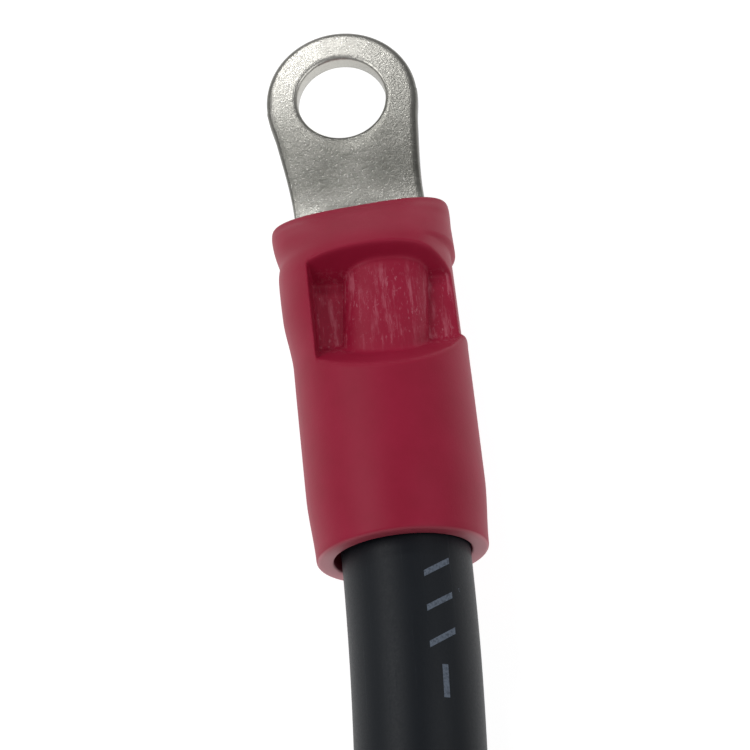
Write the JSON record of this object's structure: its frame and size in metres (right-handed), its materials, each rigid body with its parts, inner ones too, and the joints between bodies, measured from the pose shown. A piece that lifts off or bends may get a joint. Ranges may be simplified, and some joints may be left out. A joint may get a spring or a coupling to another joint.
{
  "type": "insulated ring terminal cable",
  "caption": "Stranded cable with a red vinyl-insulated crimp ring terminal at either end, its spare length coiled and held by a twist tie.",
  "frame": {"origin": "centre of the first terminal's stud hole, half way through its tongue", "axes": "+Z square to the tongue, away from the surface it lies on; +Y along the barrel towards the ring's tip, so the cable leaves towards -Y"},
  "size_m": [0.0794, 0.1391, 0.0244],
  "materials": {
    "tinned_copper": "satin tin plating on copper, grainy with light scratches",
    "braze": "dull",
    "red_vinyl": "soft satin vinyl",
    "black_pvc": "satin extruded insulation",
    "bare_copper": "bright drawn wire",
    "tie_plastic": "satin"
  },
  "bodies": {
    "root": {"ring_terminal": "tinned_copper", "braze_seam": "braze", "insulating_sleeve": "red_vinyl", "cable_insulation_end": "black_pvc", "conductor_strand_01": "bare_copper", "conductor_strand_02": "bare_copper", "conductor_strand_03": "bare_copper", "conductor_strand_04": "bare_copper", "conductor_strand_05": "bare_copper", "conductor_strand_06": "bare_copper", "conductor_strand_07": "bare_copper", "conductor_strand_08": "bare_copper", "conductor_strand_09": "bare_copper", "conductor_strand_10": "bare_copper", "conductor_strand_11": "bare_copper", "conductor_strand_12": "bare_copper", "conductor_strand_13": "bare_copper", "conductor_strand_14": "bare_copper", "conductor_strand_15": "bare_copper", "conductor_strand_16": "bare_copper", "conductor_strand_17": "bare_copper", "conductor_strand_18": "bare_copper", "conductor_strand_19": "bare_copper", "cable_lead": "black_pvc", "cable_coil": "black_pvc", "coil_twist_tie": "tie_plastic", "far_ring_terminal": "tinned_copper", "far_braze_seam": "braze", "far_insulating_sleeve": "red_vinyl", "far_cable_insulation_end": "black_pvc", "far_conductor_strands": "bare_copper"}
  },
  "joints": []
}
